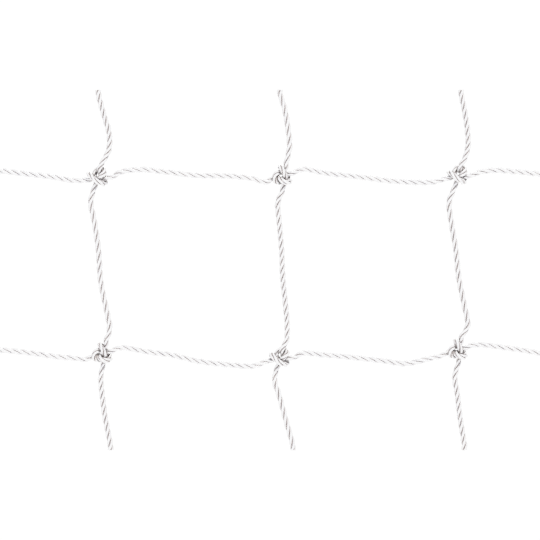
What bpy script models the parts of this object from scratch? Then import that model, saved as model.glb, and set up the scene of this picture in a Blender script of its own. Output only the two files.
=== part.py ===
"""Tennis netting panel: square meshes of 3-ply twine, tied at six knots.

Five twines run as staircases through the panel.  At every crossing two of them
are tied together with a sheet bend: one twine makes the bight, the other the
hitch round it.  Each twine is three plies laid up together, so the panel is
fifteen separate plies.
"""
import math

import bmesh
import bpy
import numpy as np

# ---------------------------------------------------------------- dimensions
MM = 0.001
TWINE = 1.35           # twine diameter over its plies, mm
PLIES = 3
PLY_OFFSET = 0.27      # ply axis from the twine axis, in twine diameters
PLY_RADIUS = 0.19      # ply section, in twine diameters
PLY_SIDES = 5
PANEL_TOP = 45.0       # cut edge above the panel centre, mm
PANEL_SIDE = 70.0      # cut edge beside the panel centre, mm
BAR_RINGS = 6          # rings to one turn of the lay along the bars
KNOT_RINGS = 8         # rings to one turn of the lay inside the knots

# Length of one full turn of the lay, mm: where a twine hangs down, where it
# runs across and inside the knots.  The hitch twine is laid up tighter.
LAY_DOWN = {"hitch": 6.1, "bight": 7.6}
LAY_ACROSS = {"hitch": 6.9, "bight": 6.6}
LAY_KNOT = 6.8
COLLECTION = "tennis_netting_panel"

# ------------------------------------------------------------- knot routes
# One sheet bend, in twine diameters, x right, y away from the viewer, z up.
# The bight comes in from the left, turns and leaves at the bottom.
BIGHT = [
    (-2.70, 0.10, -0.90), (-1.70, 0.15, -0.75), (-1.00, 0.15, -0.10),
    (-0.90, 0.45, 0.50), (-0.30, 0.75, 1.20), (0.65, 0.40, 1.15),
    (0.95, -0.25, 0.50), (0.35, -0.55, -0.20), (-0.35, -0.25, -0.85),
    (-0.70, -0.15, -1.75), (-1.10, -0.15, -2.80),
]
# The hitch comes in from the top, dives through the bight, passes behind it,
# wraps across the front, tucks under itself and leaves at the right.
HITCH = [
    (0.85, -0.40, 2.80), (0.35, -0.40, 1.90), (0.00, -0.35, 1.20),
    (-0.05, -0.15, 0.70), (0.15, 0.45, 0.35), (0.50, 1.00, 0.15),
    (0.90, 1.30, -0.50), (1.00, 1.05, -1.15), (0.75, 0.20, -1.55),
    (0.35, -0.70, -1.40), (-0.40, -1.20, -1.10), (-1.15, -0.95, -0.45),
    (-1.80, -0.45, 0.15), (-1.90, 0.50, 0.20), (-1.30, 1.10, -0.20),
    (-0.40, 0.85, -0.55), (0.10, 0.60, -0.70), (0.60, 0.35, -0.60),
    (1.50, 0.30, -0.40), (2.60, 0.30, -0.15),
]
KNOT_MIDDLE = (-0.40, 0.0, -0.10)

# Knot centres from the panel centre, mm, and whether the knot shows its back.
KNOTS = {
    "a": (-43.2, 23.5, False), "b": (3.0, 23.7, True), "c": (46.9, 23.9, False),
    "d": (-42.0, -20.7, True), "e": (2.4, -21.7, False), "f": (46.8, -19.8, True),
}

# Slack bars between the knots, (x, z) from the panel centre, mm.
BARS = {
    "a_top": [(-42.9, PANEL_TOP), (-42.9, 44.0), (-41.6, 39.0), (-40.2, 34.0), (-40.3, 30.0)],
    "b_top": [(2.5, PANEL_TOP), (2.5, 44.0), (3.6, 40.5), (4.4, 36.0), (4.9, 31.0)],
    "c_top": [(47.8, PANEL_TOP), (47.8, 44.0), (48.6, 40.0), (49.3, 35.5), (49.5, 31.0)],
    "a_d": [(-44.8, 17.0), (-43.9, 12.0), (-42.9, 5.0), (-42.3, -3.0), (-40.9, -10.0),
            (-40.1, -14.8)],
    "b_e": [(2.0, 17.0), (2.3, 12.0), (2.9, 5.0), (3.2, -2.0), (3.9, -9.0), (4.3, -14.5)],
    "c_f": [(44.8, 17.0), (45.3, 12.0), (46.4, 5.5), (47.2, -2.0), (48.6, -9.0),
            (49.4, -14.0)],
    "d_low": [(-42.3, -27.0), (-42.0, -31.0), (-41.2, -37.0), (-39.9, -44.0), (-39.9, -PANEL_TOP)],
    "e_low": [(1.2, -28.0), (2.3, -31.5), (3.8, -37.0), (5.7, -44.0), (5.7, -PANEL_TOP)],
    "f_low": [(46.2, -26.5), (46.8, -31.0), (47.5, -37.0), (48.6, -44.0), (48.6, -PANEL_TOP)],
    "a_left": [(-PANEL_SIDE, 24.9), (-68.5, 24.9), (-61.0, 24.0), (-54.0, 23.2), (-49.5, 22.4)],
    "a_b": [(-37.5, 24.4), (-32.5, 25.1), (-26.0, 24.5), (-19.0, 23.7), (-11.0, 23.5),
            (-5.0, 23.0)],
    "b_c": [(8.2, 25.2), (14.0, 24.2), (22.0, 23.3), (30.0, 22.3), (37.0, 21.9), (41.5, 22.1)],
    "c_right": [(52.0, 24.3), (56.0, 24.9), (62.0, 24.5), (68.5, 23.9), (PANEL_SIDE, 23.9)],
    "d_left": [(-PANEL_SIDE, -20.0), (-68.5, -20.0), (-61.0, -20.6), (-54.0, -21.6), (-48.5, -22.1)],
    "d_e": [(-37.0, -19.4), (-31.0, -20.4), (-24.0, -21.4), (-18.0, -22.8), (-10.0, -23.7),
            (-4.0, -24.0)],
    "e_f": [(8.0, -20.8), (13.0, -21.2), (21.0, -21.9), (28.0, -22.7), (34.0, -23.4),
            (40.0, -22.1)],
    "f_right": [(53.0, -18.7), (57.0, -19.2), (62.0, -19.9), (68.5, -20.9), (PANEL_SIDE, -20.9)],
}

# Each twine as the bars and knot passes it makes, in order.
TWINES = {
    "hitch_twine_long": ["a_top", "a hitch", "a_b", "b hitch", "b_e", "e hitch", "e_f",
                         "f hitch", "f_low"],
    "hitch_twine_top_right": ["c_top", "c hitch", "c_right"],
    "hitch_twine_low_left": ["d_left", "d hitch", "d_low"],
    "bight_twine_right": ["b_top", "b bight", "b_c", "c bight", "c_f", "f bight", "f_right"],
    "bight_twine_left": ["a_left", "a bight", "a_d", "d bight", "d_e", "e bight", "e_low"],
}


def knot_points(name, kind):
    """Route of one twine through one knot, in panel millimetres."""
    cx, cz, back = KNOTS[name]
    points = []
    for x, y, z in (HITCH if kind == "hitch" else BIGHT):
        x = x - KNOT_MIDDLE[0]
        z = z - KNOT_MIDDLE[2]
        if back:
            x, y, z = -z, -y, -x
        points.append((cx + x * TWINE, y * TWINE, cz + z * TWINE))
    return points


def route(twine):
    """Route points of a whole twine, each with the turn of the lay there, and the ring spacing."""
    kind = twine.split("_")[0]
    points = []
    lay = []
    spacing = []
    for step in TWINES[twine]:
        if " " in step:
            new = knot_points(*step.split())
            length = LAY_KNOT
            rings = KNOT_RINGS
        else:
            new = [(x, 0.0, z) for x, z in BARS[step]]
            across = abs(new[-1][0] - new[0][0]) > abs(new[-1][2] - new[0][2])
            length = (LAY_ACROSS if across else LAY_DOWN)[kind]
            rings = BAR_RINGS
        points += new
        lay += [length] * len(new)
        spacing += [length / rings] * len(new)
    points = np.array(points)
    chord = np.linalg.norm(np.diff(points, axis=0), axis=1)
    turn = np.concatenate([[0.0], np.cumsum(2 * math.pi * chord / np.array(lay[:-1]))])
    return np.column_stack([points, turn]), spacing


def smooth_path(points, spacing):
    """Centripetal spline through the route points, cut into rings."""
    ends = np.vstack([2 * points[0] - points[1], points, 2 * points[-1] - points[-2]])
    rings = []
    for i in range(1, len(ends) - 2):
        p0, p1, p2, p3 = ends[i - 1:i + 3]
        t0 = 0.0
        t1 = t0 + np.linalg.norm((p1 - p0)[:3]) ** 0.5
        t2 = t1 + np.linalg.norm((p2 - p1)[:3]) ** 0.5
        t3 = t2 + np.linalg.norm((p3 - p2)[:3]) ** 0.5
        count = max(1, math.ceil(np.linalg.norm((p2 - p1)[:3]) / spacing[i - 1]))
        for k in range(count):
            t = t1 + (t2 - t1) * k / count
            a1 = (t1 - t) / (t1 - t0) * p0 + (t - t0) / (t1 - t0) * p1
            a2 = (t2 - t) / (t2 - t1) * p1 + (t - t1) / (t2 - t1) * p2
            a3 = (t3 - t) / (t3 - t2) * p2 + (t - t2) / (t3 - t2) * p3
            b1 = (t2 - t) / (t2 - t0) * a1 + (t - t0) / (t2 - t0) * a2
            b2 = (t3 - t) / (t3 - t1) * a2 + (t - t1) / (t3 - t1) * a3
            rings.append((t2 - t) / (t2 - t1) * b1 + (t - t1) / (t2 - t1) * b2)
    rings.append(points[-1])
    rings = np.array(rings)
    path, turn = rings[:, :3], rings[:, 3]
    turn[0] = turn[1]
    turn[-1] = turn[-2]
    return path, turn


def carried_frame(path):
    """Two side directions carried along the path without spin."""
    tangent = np.gradient(path, axis=0)
    tangent /= np.linalg.norm(tangent, axis=1)[:, None]
    side = np.empty_like(path)
    last = np.array([0.0, 1.0, 0.0])
    for i, along in enumerate(tangent):
        last = last - along * np.dot(last, along)
        last = last / np.linalg.norm(last)
        side[i] = last
    return side, np.cross(tangent, side)


def square_end(path, end, neighbour):
    """Make the last bit of a twine run straight along X or Z, for a square cut."""
    out = path[end] - path[neighbour]
    for axis in range(3):
        if axis != np.argmax(np.abs(out)):
            path[end][axis] = path[neighbour][axis]


def ply_route(path, angle):
    """Axis of one ply: a helix laid round the twine's own axis, straight at the cut ends."""
    side, up = carried_frame(path)
    out = np.cos(angle)[:, None] * side + np.sin(angle)[:, None] * up
    out[1] = out[0]
    out[-2] = out[-1]
    return path + PLY_OFFSET * TWINE * out


def ply_profile():
    """The section that every ply is swept with."""
    curve = bpy.data.curves.new("ply_profile", "CURVE")
    spline = curve.splines.new("POLY")
    spline.points.add(PLY_SIDES - 1)
    spline.use_cyclic_u = True
    for k, point in enumerate(spline.points):
        angle = 2 * math.pi * k / PLY_SIDES
        radius = PLY_RADIUS * TWINE * MM
        point.co = (radius * math.cos(angle), radius * math.sin(angle), 0.0, 1.0)
    return bpy.data.objects.new("ply_profile", curve)


def swept_ply(name, points, profile, collection):
    """A closed ply: the profile swept along a poly curve and made a mesh."""
    curve = bpy.data.curves.new(name, "CURVE")
    curve.dimensions = "3D"
    curve.bevel_mode = "OBJECT"
    curve.bevel_object = profile
    curve.use_fill_caps = True
    spline = curve.splines.new("POLY")
    spline.points.add(len(points) - 1)
    for point, (x, y, z) in zip(spline.points, points):
        point.co = (x * MM, y * MM, (z - PANEL_TOP) * MM, 1.0)
    sweep = bpy.data.objects.new(f"{name}_sweep", curve)
    collection.objects.link(sweep)
    graph = bpy.context.evaluated_depsgraph_get()
    mesh = bpy.data.meshes.new_from_object(sweep.evaluated_get(graph))
    mesh.name = name
    bpy.data.objects.remove(sweep)
    work = bmesh.new()
    work.from_mesh(mesh)
    bmesh.ops.remove_doubles(work, verts=work.verts, dist=1e-7)
    bmesh.ops.recalc_face_normals(work, faces=work.faces)
    work.to_mesh(mesh)
    work.free()
    mesh.materials.clear()
    ply = bpy.data.objects.new(name, mesh)
    collection.objects.link(ply)
    return ply


def nylon(name, colour):
    """Bleached white nylon."""
    material = bpy.data.materials.new(name)
    material.use_nodes = True
    shader = material.node_tree.nodes["Principled BSDF"]
    shader.inputs["Base Color"].default_value = (*colour, 1.0)
    shader.inputs["Roughness"].default_value = 0.38
    shader.inputs["IOR"].default_value = 1.53
    return material


def build():
    for old in list(bpy.data.objects):
        bpy.data.objects.remove(old)
    collection = bpy.data.collections.new(COLLECTION)
    bpy.context.scene.collection.children.link(collection)
    profile = ply_profile()
    for number, name in enumerate(TWINES):
        path, turn = smooth_path(*route(name))
        square_end(path, 0, 1)
        square_end(path, -1, -2)
        for ply in range(PLIES):
            points = ply_route(path, turn + 2 * math.pi * ply / PLIES)
            piece = swept_ply(f"{name}_ply_{ply + 1}", points, profile, collection)
            shade = 0.90 - 0.01 * number - 0.005 * ply
            piece.data.materials.append(nylon(f"nylon_{piece.name}", (shade, shade, shade)))
    bpy.data.objects.remove(profile)


build()
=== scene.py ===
"""Looks for the tennis netting panel: three-ply bleached nylon twine, knotted, on pure white."""
import math

import bpy
import numpy as np
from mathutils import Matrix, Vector


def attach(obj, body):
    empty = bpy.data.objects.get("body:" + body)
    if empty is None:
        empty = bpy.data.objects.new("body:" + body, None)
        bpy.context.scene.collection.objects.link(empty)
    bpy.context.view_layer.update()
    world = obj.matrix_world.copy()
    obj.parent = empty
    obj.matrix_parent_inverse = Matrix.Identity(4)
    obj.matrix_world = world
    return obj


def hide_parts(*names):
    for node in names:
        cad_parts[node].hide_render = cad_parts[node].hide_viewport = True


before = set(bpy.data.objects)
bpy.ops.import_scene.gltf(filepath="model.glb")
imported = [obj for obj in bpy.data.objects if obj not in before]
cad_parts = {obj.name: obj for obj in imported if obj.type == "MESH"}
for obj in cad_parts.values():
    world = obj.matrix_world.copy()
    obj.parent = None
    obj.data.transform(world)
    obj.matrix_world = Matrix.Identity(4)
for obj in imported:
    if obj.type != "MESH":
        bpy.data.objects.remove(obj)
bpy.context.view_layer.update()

# ---------------------------------------------------------------- dimensions
MM = 0.001
TWINE = 1.35            # twine diameter over its plies, mm
PLIES = 3
PANEL_TOP = 45.0        # cut edge above the panel centre, mm
PANEL_SIDE = 70.0       # cut edge beside the panel centre, mm
CENTRE = (0.0, 0.0, -PANEL_TOP * MM)    # middle of the net, m
RING_STEP = 0.16        # ring spacing of the finished plies, mm
SMOOTHING = 12          # passes that ease each point of a path towards its neighbours

# Section of one ply, in twine diameters.
SECTION = 0.50          # outer radius of the twine
SHOULDER = 0.226        # rounding where two plies meet
PRESSED = 0.004         # half the gap between the pressed plies
CROWN_FACES = 10        # faces over the outside of a ply
SHOULDER_FACES = 8      # faces round each shoulder
HEART_FACES = 4         # faces at the middle of the twine
YARNS = 9               # yarn bundles that show round one ply
YARN_GROOVE = 0.012     # depth between the bundles
YARN_NARROW = 3         # power that narrows the grooves between the bundles
YARN_TWIST = 1.14       # how fast the bundles turn back against the lay, radians per mm

# Between the knots nothing grips the twine, and it is fuller.
SLACK_SWELL = 0.10      # how much fuller, as a share of its diameter
GRIP = (4.5, 7.5)       # distances from a knot's centre where it begins and ends to fill out, mm

# Where painted shade darkens the material.
ACROSS_LESS_SHADE = 0.55     # how much less painted shade the grooves get where the twine runs level
PINCH_ROUND = 7.0       # distance from a knot's centre within which passes press together, mm
PINCH_SELF = 3.0        # passes of one twine nearer than this along it count as one pass, mm
PINCH_NEAR = 0.48       # distance to another pass's axis where the yarn is pressed, diameters
PINCH_FAR = 0.88        # and where it is free

# Length of one full turn of the lay, mm: where a twine hangs down, where it
# runs across and inside the knots.  The hitch twine is laid up tighter.
LAY_DOWN = {"hitch": 6.1, "bight": 7.6}
LAY_ACROSS = {"hitch": 6.9, "bight": 6.6}
LAY_KNOT = 6.8

# ------------------------------------------------------------- knot routes
# One sheet bend, in twine diameters, x right, y away from the viewer, z up.
# The bight comes in from the left, turns and leaves at the bottom.
BIGHT = [
    (-2.70, 0.10, -0.90), (-1.70, 0.15, -0.75), (-1.00, 0.15, -0.10),
    (-0.90, 0.45, 0.50), (-0.30, 0.75, 1.20), (0.65, 0.40, 1.15),
    (0.95, -0.25, 0.50), (0.35, -0.55, -0.20), (-0.35, -0.25, -0.85),
    (-0.70, -0.15, -1.75), (-1.10, -0.15, -2.80),
]
# The hitch comes in from the top, dives through the bight, passes behind it,
# wraps across the front, tucks under itself and leaves at the right.
HITCH = [
    (0.85, -0.40, 2.80), (0.35, -0.40, 1.90), (0.00, -0.35, 1.20),
    (-0.05, -0.15, 0.70), (0.15, 0.45, 0.35), (0.50, 1.00, 0.15),
    (0.90, 1.30, -0.50), (1.00, 1.05, -1.15), (0.75, 0.20, -1.55),
    (0.35, -0.70, -1.40), (-0.40, -1.20, -1.10), (-1.15, -0.95, -0.45),
    (-1.80, -0.45, 0.15), (-1.90, 0.50, 0.20), (-1.30, 1.10, -0.20),
    (-0.40, 0.85, -0.55), (0.10, 0.60, -0.70), (0.60, 0.35, -0.60),
    (1.50, 0.30, -0.40), (2.60, 0.30, -0.15),
]
KNOT_MIDDLE = (-0.40, 0.0, -0.10)

# Knot centres from the panel centre, mm, and whether the knot shows its back.
KNOTS = {
    "a": (-43.2, 23.5, False), "b": (3.0, 23.7, True), "c": (46.9, 23.9, False),
    "d": (-42.0, -20.7, True), "e": (2.4, -21.7, False), "f": (46.8, -19.8, True),
}

# Slack bars between the knots, (x, z) from the panel centre, mm.
BARS = {
    "a_top": [(-42.9, PANEL_TOP), (-42.9, 44.0), (-41.6, 39.0), (-40.2, 34.0), (-40.3, 30.0)],
    "b_top": [(2.5, PANEL_TOP), (2.5, 44.0), (3.6, 40.5), (4.4, 36.0), (4.9, 31.0)],
    "c_top": [(47.8, PANEL_TOP), (47.8, 44.0), (48.6, 40.0), (49.3, 35.5), (49.5, 31.0)],
    "a_d": [(-44.8, 17.0), (-43.9, 12.0), (-42.9, 5.0), (-42.3, -3.0), (-40.9, -10.0),
            (-40.1, -14.8)],
    "b_e": [(2.0, 17.0), (2.3, 12.0), (2.9, 5.0), (3.2, -2.0), (3.9, -9.0), (4.3, -14.5)],
    "c_f": [(44.8, 17.0), (45.3, 12.0), (46.4, 5.5), (47.2, -2.0), (48.6, -9.0),
            (49.4, -14.0)],
    "d_low": [(-42.3, -27.0), (-42.0, -31.0), (-41.2, -37.0), (-39.9, -44.0), (-39.9, -PANEL_TOP)],
    "e_low": [(1.2, -28.0), (2.3, -31.5), (3.8, -37.0), (5.7, -44.0), (5.7, -PANEL_TOP)],
    "f_low": [(46.2, -26.5), (46.8, -31.0), (47.5, -37.0), (48.6, -44.0), (48.6, -PANEL_TOP)],
    "a_left": [(-PANEL_SIDE, 24.9), (-68.5, 24.9), (-61.0, 24.0), (-54.0, 23.2), (-49.5, 22.4)],
    "a_b": [(-37.5, 24.4), (-32.5, 25.1), (-26.0, 24.5), (-19.0, 23.7), (-11.0, 23.5),
            (-5.0, 23.0)],
    "b_c": [(8.2, 25.2), (14.0, 24.2), (22.0, 23.3), (30.0, 22.3), (37.0, 21.9), (41.5, 22.1)],
    "c_right": [(52.0, 24.3), (56.0, 24.9), (62.0, 24.5), (68.5, 23.9), (PANEL_SIDE, 23.9)],
    "d_left": [(-PANEL_SIDE, -20.0), (-68.5, -20.0), (-61.0, -20.6), (-54.0, -21.6), (-48.5, -22.1)],
    "d_e": [(-37.0, -19.4), (-31.0, -20.4), (-24.0, -21.4), (-18.0, -22.8), (-10.0, -23.7),
            (-4.0, -24.0)],
    "e_f": [(8.0, -20.8), (13.0, -21.2), (21.0, -21.9), (28.0, -22.7), (34.0, -23.4),
            (40.0, -22.1)],
    "f_right": [(53.0, -18.7), (57.0, -19.2), (62.0, -19.9), (68.5, -20.9), (PANEL_SIDE, -20.9)],
}

# Each twine as the bars and knot passes it makes, in order.
TWINES = {
    "hitch_twine_long": ["a_top", "a hitch", "a_b", "b hitch", "b_e", "e hitch", "e_f",
                         "f hitch", "f_low"],
    "hitch_twine_top_right": ["c_top", "c hitch", "c_right"],
    "hitch_twine_low_left": ["d_left", "d hitch", "d_low"],
    "bight_twine_right": ["b_top", "b bight", "b_c", "c bight", "c_f", "f bight", "f_right"],
    "bight_twine_left": ["a_left", "a bight", "a_d", "d bight", "d_e", "e bight", "e_low"],
}


def knot_points(name, kind):
    """Route of one twine through one knot, in panel millimetres."""
    cx, cz, back = KNOTS[name]
    points = []
    for x, y, z in (HITCH if kind == "hitch" else BIGHT):
        x = x - KNOT_MIDDLE[0]
        z = z - KNOT_MIDDLE[2]
        if back:
            x, y, z = -z, -y, -x
        points.append((cx + x * TWINE, y * TWINE, cz + z * TWINE))
    return points


def route(twine):
    """Route points of a whole twine in panel millimetres, each with the turn of the lay there."""
    kind = twine.split("_")[0]
    points = []
    lay = []
    for step in TWINES[twine]:
        if " " in step:
            new = knot_points(*step.split())
            length = LAY_KNOT
        else:
            new = [(x, 0.0, z) for x, z in BARS[step]]
            across = abs(new[-1][0] - new[0][0]) > abs(new[-1][2] - new[0][2])
            length = (LAY_ACROSS if across else LAY_DOWN)[kind]
        points += new
        lay += [length] * len(new)
    points = np.array(points)
    chord = np.linalg.norm(np.diff(points, axis=0), axis=1)
    turn = np.concatenate([[0.0], np.cumsum(2 * math.pi * chord / np.array(lay[:-1]))])
    return np.column_stack([points, turn])


def smooth_path(points):
    """Centripetal spline through the route points, cut into even short steps."""
    ends = np.vstack([2 * points[0] - points[1], points, 2 * points[-1] - points[-2]])
    rings = []
    for i in range(1, len(ends) - 2):
        p0, p1, p2, p3 = ends[i - 1:i + 3]
        t0 = 0.0
        t1 = t0 + np.linalg.norm((p1 - p0)[:3]) ** 0.5
        t2 = t1 + np.linalg.norm((p2 - p1)[:3]) ** 0.5
        t3 = t2 + np.linalg.norm((p3 - p2)[:3]) ** 0.5
        count = max(2, math.ceil(np.linalg.norm((p2 - p1)[:3]) / (RING_STEP / 2)))
        for k in range(count):
            t = t1 + (t2 - t1) * k / count
            a1 = (t1 - t) / (t1 - t0) * p0 + (t - t0) / (t1 - t0) * p1
            a2 = (t2 - t) / (t2 - t1) * p1 + (t - t1) / (t2 - t1) * p2
            a3 = (t3 - t) / (t3 - t2) * p2 + (t - t2) / (t3 - t2) * p3
            b1 = (t2 - t) / (t2 - t0) * a1 + (t - t0) / (t2 - t0) * a2
            b2 = (t3 - t) / (t3 - t1) * a2 + (t - t1) / (t3 - t1) * a3
            rings.append((t2 - t) / (t2 - t1) * b1 + (t - t1) / (t2 - t1) * b2)
    rings.append(points[-1])
    rings = np.array(rings)
    for _ in range(SMOOTHING):
        rings[1:-1] = 0.5 * rings[1:-1] + 0.25 * (rings[:-2] + rings[2:])
    run = run_length(rings)
    even = np.linspace(0.0, run[-1], int(run[-1] / RING_STEP) + 1)
    even_rings = np.stack([np.interp(even, run, rings[:, k]) for k in range(4)], axis=1)
    return even_rings[:, :3], even_rings[:, 3]


def run_length(path):
    """Distance along a path to each of its points."""
    steps = np.linalg.norm(np.diff(path[:, :3], axis=0), axis=1)
    return np.concatenate([[0.0], np.cumsum(steps)])


def carried_frame(path):
    """Two side directions carried along the path without spin, the first from the depth axis."""
    tangent = np.gradient(path, axis=0)
    tangent /= np.linalg.norm(tangent, axis=1)[:, None]
    side = np.empty_like(path)
    last = np.array([0.0, 1.0, 0.0])
    for i, along in enumerate(tangent):
        last = last - along * np.dot(last, along)
        last = last / np.linalg.norm(last)
        side[i] = last
    return side, np.cross(tangent, side)


def ply_section():
    """Outline of one ply in twine diameters from the twine's axis, its normals and its depth.

    The depth runs from 0 on the crown to 1 where the ply meets its neighbour.
    """
    half = math.pi / PLIES
    reach = SECTION - SHOULDER
    seat = SHOULDER + PRESSED
    corner_angle = half - math.asin(seat / reach)
    corner = reach * np.array([math.cos(corner_angle), math.sin(corner_angle)])
    heart = np.array([seat / math.sin(half), 0.0])
    flank = half + math.pi / 2

    def arc(centre, radius, start, end, faces):
        angles = np.linspace(start, end, faces + 1)
        normal = np.stack([np.cos(angles), np.sin(angles)], axis=1)
        return centre + radius * normal, normal

    upper = [
        arc(np.zeros(2), SECTION, 0.0, corner_angle, CROWN_FACES // 2),
        arc(corner, SHOULDER, corner_angle, flank, SHOULDER_FACES),
        arc(heart, SHOULDER, flank, math.pi, HEART_FACES // 2),
    ]
    points = np.vstack([upper[0][0], upper[1][0][1:], upper[2][0]])
    normals = np.vstack([upper[0][1], upper[1][1][1:], upper[2][1]])
    mirror = np.array([1.0, -1.0])
    points = np.vstack([points, (points * mirror)[-2:0:-1]])
    normals = np.vstack([normals, (normals * mirror)[-2:0:-1]])
    touch = np.linalg.norm(upper[1][0][-1])
    sunk = (SECTION - np.linalg.norm(points, axis=1)) / (SECTION - touch)
    return points, normals, np.clip(sunk, 0.0, 1.0)


def slackness(path):
    """0 where a knot grips the twine, rising smoothly to 1 on the bars between the knots."""
    centres = np.array([(x, z) for x, z, _ in KNOTS.values()])
    gap = np.linalg.norm(path[:, None, [0, 2]] - centres[None, :, :], axis=2).min(axis=1)
    slack = np.clip((gap - GRIP[0]) / (GRIP[1] - GRIP[0]), 0.0, 1.0)
    return slack * slack * (3.0 - 2.0 * slack)


def pinched(verts, twine, lines):
    """Painted shade mask: how hard each point presses on another pass of twine, 0 free to 1
    touching.
    """
    run = lines[twine][1]
    own = np.repeat(run, len(verts) // len(run))
    press = np.zeros(len(verts))
    for cx, cz, _ in KNOTS.values():
        near = np.hypot(verts[:, 0] - cx, verts[:, 2] - cz) < PINCH_ROUND
        for other, (path, along) in lines.items():
            inside = np.hypot(path[:, 0] - cx, path[:, 2] - cz) < PINCH_ROUND
            if not inside.any() or not near.any():
                continue
            gap = np.linalg.norm(verts[near][:, None, :] - path[inside][None, :, :], axis=2)
            if other == twine:
                same_pass = np.abs(own[near][:, None] - along[inside][None, :]) < PINCH_SELF
                gap[same_pass] = np.inf
            closest = gap.min(axis=1) / TWINE
            hard = np.clip((PINCH_FAR - closest) / (PINCH_FAR - PINCH_NEAR), 0.0, 1.0)
            press[near] = np.maximum(press[near], hard)
    return press


def yarn_angle(outline, run):
    """Angle of the yarns at each point of each ring, turned back against the lay."""
    edge = np.linalg.norm(np.roll(outline, -1, axis=0) - outline, axis=1)
    share = np.concatenate([[0.0], np.cumsum(edge)[:-1]]) / edge.sum()
    return 2 * math.pi * share[None, :] + YARN_TWIST * run[:, None]


def ply_points(path, angle, outline, normals, yarn):
    """Points of one ply, ring by ring: a third of the round twine, wound round its axis."""
    side, up = carried_frame(path)
    outward = np.cos(angle)[:, None] * side + np.sin(angle)[:, None] * up
    across = -np.sin(angle)[:, None] * side + np.cos(angle)[:, None] * up
    dent = YARN_GROOVE * (0.5 - 0.5 * np.cos(YARNS * yarn)) ** YARN_NARROW
    full = TWINE * (1.0 + SLACK_SWELL * slackness(path))[:, None]
    deep = full * (outline[None, :, 0] - dent * normals[None, :, 0])
    wide = full * (outline[None, :, 1] - dent * normals[None, :, 1])
    rings = (path[:, None, :] + deep[:, :, None] * outward[:, None, :]
             + wide[:, :, None] * across[:, None, :])
    return rings.reshape(-1, 3)


def tube_faces(count, sides):
    """Quads along a tube of so many rings, and then its two flat ends."""
    ring = np.arange(count - 1)[:, None] * sides
    here = np.arange(sides)[None, :]
    beside = (here + 1) % sides
    quads = np.stack([ring + here, ring + beside, ring + sides + beside, ring + sides + here],
                     axis=-1)
    faces = quads.reshape(-1, 4).tolist()
    faces.append(list(range(sides))[::-1])
    faces.append([(count - 1) * sides + n for n in range(sides)])
    return faces


def store(mesh, name, kind, values):
    """Keep a number or a vector at each point of the mesh, for the material to read."""
    attribute = mesh.attributes.new(name, kind, "POINT")
    field = "vector" if kind == "FLOAT_VECTOR" else "value"
    attribute.data.foreach_set(field, values.astype(np.float32).ravel())


def ply_mesh(name, twine, angle, lines):
    """Mesh of one ply, with what its material reads at each point."""
    path, run = lines[twine]
    outline, normals, sunk = ply_section()
    yarn = yarn_angle(outline, run)
    verts = ply_points(path, angle, outline, normals, yarn)
    press = pinched(verts, twine, lines)
    verts[:, 2] -= PANEL_TOP
    faces = tube_faces(len(path), len(outline))
    mesh = bpy.data.meshes.new(name)
    mesh.from_pydata((verts * MM).tolist(), [], faces)
    mesh.update()
    mesh.polygons.foreach_set("use_smooth", [True] * (len(faces) - 2) + [False, False])

    # where each point is on its yarn: round the ply as x and y, along it in mm as z
    along = np.repeat(run, len(outline))
    store(mesh, "yarn", "FLOAT_VECTOR",
          np.stack([np.cos(yarn).ravel(), np.sin(yarn).ravel(), along], axis=1))
    # painted shade down the groove between two plies at each point, less where the twine runs level
    flatness = np.abs(np.gradient(path[:, 0]) / np.gradient(run))
    store(mesh, "groove", "FLOAT", (1.0 - ACROSS_LESS_SHADE * flatness ** 2)[:, None] * sunk[None, :])
    # painted shade where another pass of twine presses close in a knot
    store(mesh, "pinch_shade", "FLOAT", press)
    return mesh


# ------------------------------------------------------------- shader nodes
def set_inputs(node, values):
    """Give fixed values to a node's named inputs."""
    for name, value in values.items():
        node.inputs[name].default_value = value


def plug(tree, value, socket):
    """Feed an input from another node's output, or give it a fixed value."""
    if isinstance(value, bpy.types.NodeSocket):
        tree.links.new(value, socket)
    else:
        socket.default_value = value


def stored(tree, name):
    """Node that reads what the mesh stores at each point."""
    node = tree.nodes.new("ShaderNodeAttribute")
    node.attribute_name = name
    return node


def noise(tree, place, seed, scale, shift, detail):
    """Noise over a ply's yarn coordinates, in a different place for each ply."""
    mapping = tree.nodes.new("ShaderNodeMapping")
    set_inputs(mapping, {"Scale": scale, "Location": (shift, 0.0, seed * SEED_STEP)})
    texture = tree.nodes.new("ShaderNodeTexNoise")
    set_inputs(texture, {"Scale": 1.0, "Detail": detail})
    tree.links.new(place.outputs["Vector"], mapping.inputs["Vector"])
    tree.links.new(mapping.outputs["Vector"], texture.inputs["Vector"])
    return texture.outputs["Fac"]


def ramp(tree, factor, stops):
    """Colour between two stops, each a place on the factor with its colour."""
    node = tree.nodes.new("ShaderNodeValToRGB")
    for element, (place, colour) in zip(node.color_ramp.elements, stops):
        element.position = place
        element.color = (*colour, 1.0)
    tree.links.new(factor, node.inputs["Fac"])
    return node.outputs["Color"]


def multiplied(tree, colour, tint, factor):
    """The colour times the tint, as far as the factor says."""
    node = tree.nodes.new("ShaderNodeMix")
    node.data_type = "RGBA"
    node.blend_type = "MULTIPLY"
    plug(tree, colour, node.inputs["A"])
    plug(tree, tint, node.inputs["B"])
    plug(tree, factor, node.inputs["Factor"])
    return node.outputs["Result"]


def vector_maths(tree, operation, first, second):
    """A vector node over two inputs, each an output or a fixed vector."""
    node = tree.nodes.new("ShaderNodeVectorMath")
    node.operation = operation
    plug(tree, first, node.inputs[0])
    plug(tree, second, node.inputs[1])
    return node


# ------------------------------------------------------------------ nylon
NYLON = {"IOR": 1.53, "Sheen Weight": 0.15, "Sheen Roughness": 0.4}
SEED_STEP = 7.3         # how far along the noise each ply's own stretch lies

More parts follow.
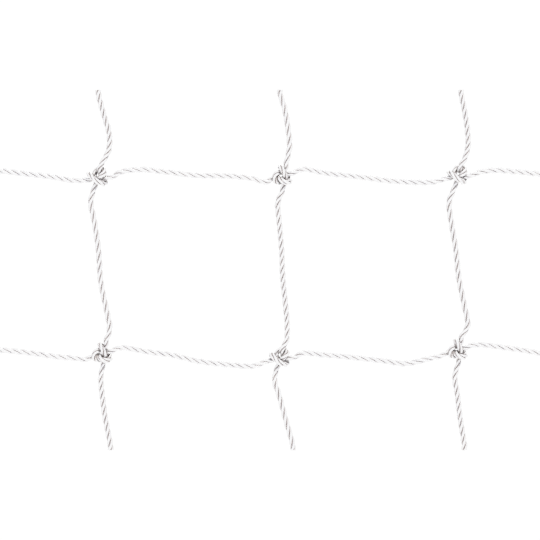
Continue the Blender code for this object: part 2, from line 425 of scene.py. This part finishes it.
# Noise scales are across the ply twice, then along it.
STREAKS = {"scale": (9.0, 9.0, 0.35), "shift": 3.1, "detail": 3.0}
DRIFT = {"scale": (0.6, 0.6, 0.09), "shift": 11.7, "detail": 2.0}
STREAK_COLOURS = ((0.35, (0.68, 0.668, 0.655)), (0.62, (0.78, 0.775, 0.765)))
DRIFT_TINTS = ((0.35, (0.95, 0.955, 0.965)), (0.65, (1.0, 0.998, 0.992)))
ROUGHNESS = {"From Min": 0.3, "From Max": 0.7, "To Min": 0.30, "To Max": 0.46}
BUMP = {"Strength": 0.35, "Distance": 0.01 * MM}

GROOVE_FROM = 0.0       # groove depth where the painted shade begins
GROOVE_TO = 0.50        # and where it is full
# Painted shade colours: grey down in the grooves, darker where passes press together in a knot.
GROOVE_SHADE = (0.60, 0.56, 0.545, 1.0)
CREVICE_SHADE = (0.42, 0.37, 0.345, 1.0)


def nylon(name, seed):
    """Bleached multifilament nylon: fine streaks along the yarns, a soft gloss, a trace of sheen."""
    material = bpy.data.materials.new(name)
    material.use_nodes = True
    tree = material.node_tree
    shader = tree.nodes["Principled BSDF"]
    set_inputs(shader, NYLON)
    place = stored(tree, "yarn")
    streaks = noise(tree, place, seed, **STREAKS)
    drift = noise(tree, place, seed, **DRIFT)
    unshaded = multiplied(tree, ramp(tree, streaks, STREAK_COLOURS),
                       ramp(tree, drift, DRIFT_TINTS), 1.0)

    # Painted shade: greyer down in the grooves of the lay, on top of the shadow the grooves cast.
    depth = tree.nodes.new("ShaderNodeMapRange")
    depth.interpolation_type = "SMOOTHSTEP"
    set_inputs(depth, {"From Min": GROOVE_FROM, "From Max": GROOVE_TO})
    tree.links.new(stored(tree, "groove").outputs["Fac"], depth.inputs["Value"])
    groove_shaded = multiplied(tree, unshaded, GROOVE_SHADE, depth.outputs["Result"])

    # Painted shade too: darker where another pass of twine presses on it in a knot.
    colour = multiplied(tree, groove_shaded, CREVICE_SHADE, stored(tree, "pinch_shade").outputs["Fac"])
    tree.links.new(colour, shader.inputs["Base Color"])

    gloss = tree.nodes.new("ShaderNodeMapRange")
    set_inputs(gloss, ROUGHNESS)
    tree.links.new(streaks, gloss.inputs["Value"])
    tree.links.new(gloss.outputs["Result"], shader.inputs["Roughness"])

    bump = tree.nodes.new("ShaderNodeBump")
    set_inputs(bump, BUMP)
    tree.links.new(streaks, bump.inputs["Height"])
    tree.links.new(bump.outputs["Normal"], shader.inputs["Normal"])
    return material


# ------------------------------------------------------------- the twines
def square_end(path, end, neighbour):
    """Make the last bit of a twine run straight along one axis, for a square cut."""
    out = path[end] - path[neighbour]
    for axis in range(3):
        if axis != np.argmax(np.abs(out)):
            path[end][axis] = path[neighbour][axis]


# All the lines come first, because a ply gets painted shade from the passes of the other twines.
TURNS = {}              # turn of the lay along each twine
LINES = {}              # centre line of each twine, with the distance along it
for twine in TWINES:
    line, TURNS[twine] = smooth_path(route(twine))
    square_end(line, 0, 1)
    square_end(line, -1, -2)
    LINES[twine] = (line, run_length(line))

for number, twine in enumerate(TWINES):
    for ply in range(PLIES):
        node = f"{twine}_ply_{ply + 1}"
        turn = TURNS[twine] + 2 * math.pi * ply / PLIES
        mesh = ply_mesh(f"nylon_{node}", twine, turn, LINES)
        piece = bpy.data.objects.new(f"nylon_{node}", mesh)
        bpy.context.scene.collection.objects.link(piece)
        mesh.materials.append(nylon(f"nylon_{node}", number * PLIES + ply))
        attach(piece, "root")
        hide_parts(node)

# ------------------------------------------------------------------ floor
FLOOR_DROP = 0.30       # floor below the hanging edge, m
FLOOR_HALF = 0.90       # half the floor's side, m
# The paint gives off light of its own, so that the floor's edge hardly shows from above.
FLOOR_PAINT = {"Base Color": (0.86, 0.86, 0.86, 1.0), "Roughness": 0.7,
               "Emission Color": (1.0, 1.0, 1.0, 1.0), "Emission Strength": 0.6}

floor_mesh = bpy.data.meshes.new("floor")
floor_mesh.from_pydata([(-FLOOR_HALF, -FLOOR_HALF, 0.0), (FLOOR_HALF, -FLOOR_HALF, 0.0),
                        (FLOOR_HALF, FLOOR_HALF, 0.0), (-FLOOR_HALF, FLOOR_HALF, 0.0)],
                       [], [(0, 1, 2, 3)])
floor = bpy.data.objects.new("floor", floor_mesh)
floor.location = (0.0, 0.0, -FLOOR_DROP)
bpy.context.scene.collection.objects.link(floor)
paint = bpy.data.materials.new("floor_paint")
paint.use_nodes = True
set_inputs(paint.node_tree.nodes["Principled BSDF"], FLOOR_PAINT)
floor_mesh.materials.append(paint)

# -------------------------------------------------------------- tone curve
# Highlights roll off below white, as on film, so that the lit twine stays apart from the
# white backdrop. Each pair is light in and light out, and the last one is the white level.
ROLL_OFF = [(0.0, 0.0), (0.5, 0.5), (0.7, 0.70), (0.9, 0.86), (1.05, 0.915), (1.2, 0.955),
            (1.3, 1.0)]
BACKDROP_LEVEL = 1.35   # just past the white level

scene = bpy.context.scene
scene.view_settings.view_transform = "Standard"
scene.view_settings.use_curve_mapping = True
curves = scene.view_settings.curve_mapping
white = ROLL_OFF[-1][0]
curves.white_level = (white, white, white)
film = curves.curves[3]
film.points[0].location = ROLL_OFF[0]
film.points[1].location = (1.0, ROLL_OFF[-1][1])
for light_in, light_out in ROLL_OFF[1:-1]:
    film.points.new(light_in / white, light_out)
curves.update()

# ------------------------------------------------------------------ lights
LAMP_SIZE = 0.20        # side of each soft light, m
LAMP_COLOUR = (1.0, 0.985, 0.94)
# Each lamp's place in m and its power in W.
LAMPS = {
    "key": ((0.27, -0.48, 0.65), 5.7),
    "fill": ((-0.55, -0.60, -0.10), 1.4),
    "back": ((0.0, 0.60, 0.55), 5.5),
}


def softbox(name, place, power):
    """A square soft light aimed at the middle of the net, unseen by the camera."""
    light = bpy.data.lights.new(name, "AREA")
    light.size = LAMP_SIZE
    light.energy = power
    light.color = LAMP_COLOUR
    lamp = bpy.data.objects.new(name, light)
    lamp.location = place
    aim = [c - p for c, p in zip(CENTRE, place)]
    lamp.rotation_euler = Vector(aim).to_track_quat("-Z", "Y").to_euler()
    lamp.visible_camera = False
    scene.collection.objects.link(lamp)


for lamp_name, (lamp_place, lamp_power) in LAMPS.items():
    softbox(lamp_name, lamp_place, lamp_power)

# ------------------------------------------------------------------- world
# A pale, slightly blue surround in a smooth gradient. EVEN is its strength along each axis,
# both ways, and LEAN is added towards the plus end of the axis and taken off the other. It is
# brightest in front of the net and dimmest behind it, which leaves the edges of the twine a
# little greyer than its middle. The camera sees a plain white backdrop in its place.
EVEN = (0.22, 0.66, 0.40)
LEAN = (0.05, -0.55, 0.15)
SURROUND_COLOUR = (0.87, 0.89, 1.0, 1.0)

world = bpy.data.worlds.new("studio")
scene.world = world
world.use_nodes = True
sky = world.node_tree
towards = sky.nodes.new("ShaderNodeTexCoord").outputs["Generated"]
squared = vector_maths(sky, "MULTIPLY", towards, towards).outputs["Vector"]
even = vector_maths(sky, "DOT_PRODUCT", squared, EVEN).outputs["Value"]
lean = vector_maths(sky, "DOT_PRODUCT", towards, LEAN).outputs["Value"]
strength = sky.nodes.new("ShaderNodeMath")
strength.operation = "ADD"
sky.links.new(even, strength.inputs[0])
sky.links.new(lean, strength.inputs[1])
surround = sky.nodes["Background"]
set_inputs(surround, {"Color": SURROUND_COLOUR})
sky.links.new(strength.outputs["Value"], surround.inputs["Strength"])
backdrop = sky.nodes.new("ShaderNodeBackground")
set_inputs(backdrop, {"Color": (1.0, 1.0, 1.0, 1.0), "Strength": BACKDROP_LEVEL})
seen = sky.nodes.new("ShaderNodeLightPath")
choose = sky.nodes.new("ShaderNodeMixShader")
sky.links.new(seen.outputs["Is Camera Ray"], choose.inputs["Fac"])
sky.links.new(surround.outputs["Background"], choose.inputs[1])
sky.links.new(backdrop.outputs["Background"], choose.inputs[2])
sky.links.new(choose.outputs["Shader"], sky.nodes["World Output"].inputs["Surface"])

# ------------------------------------------------------------------ camera
CAMERA_BACK = 0.375     # distance in front of the net, m
FOCAL_LENGTH = 100.0    # mm, over the sensor width below
SENSOR_WIDTH = 36.0
CLIP_START = 0.01       # m

lens = bpy.data.cameras.new("camera")
lens.type = "PERSP"
lens.lens = FOCAL_LENGTH
lens.sensor_width = SENSOR_WIDTH
lens.clip_start = CLIP_START
camera = bpy.data.objects.new("camera", lens)
camera.location = (CENTRE[0], -CAMERA_BACK, CENTRE[2])
camera.rotation_euler = (math.pi / 2, 0.0, 0.0)
scene.collection.objects.link(camera)
scene.camera = camera
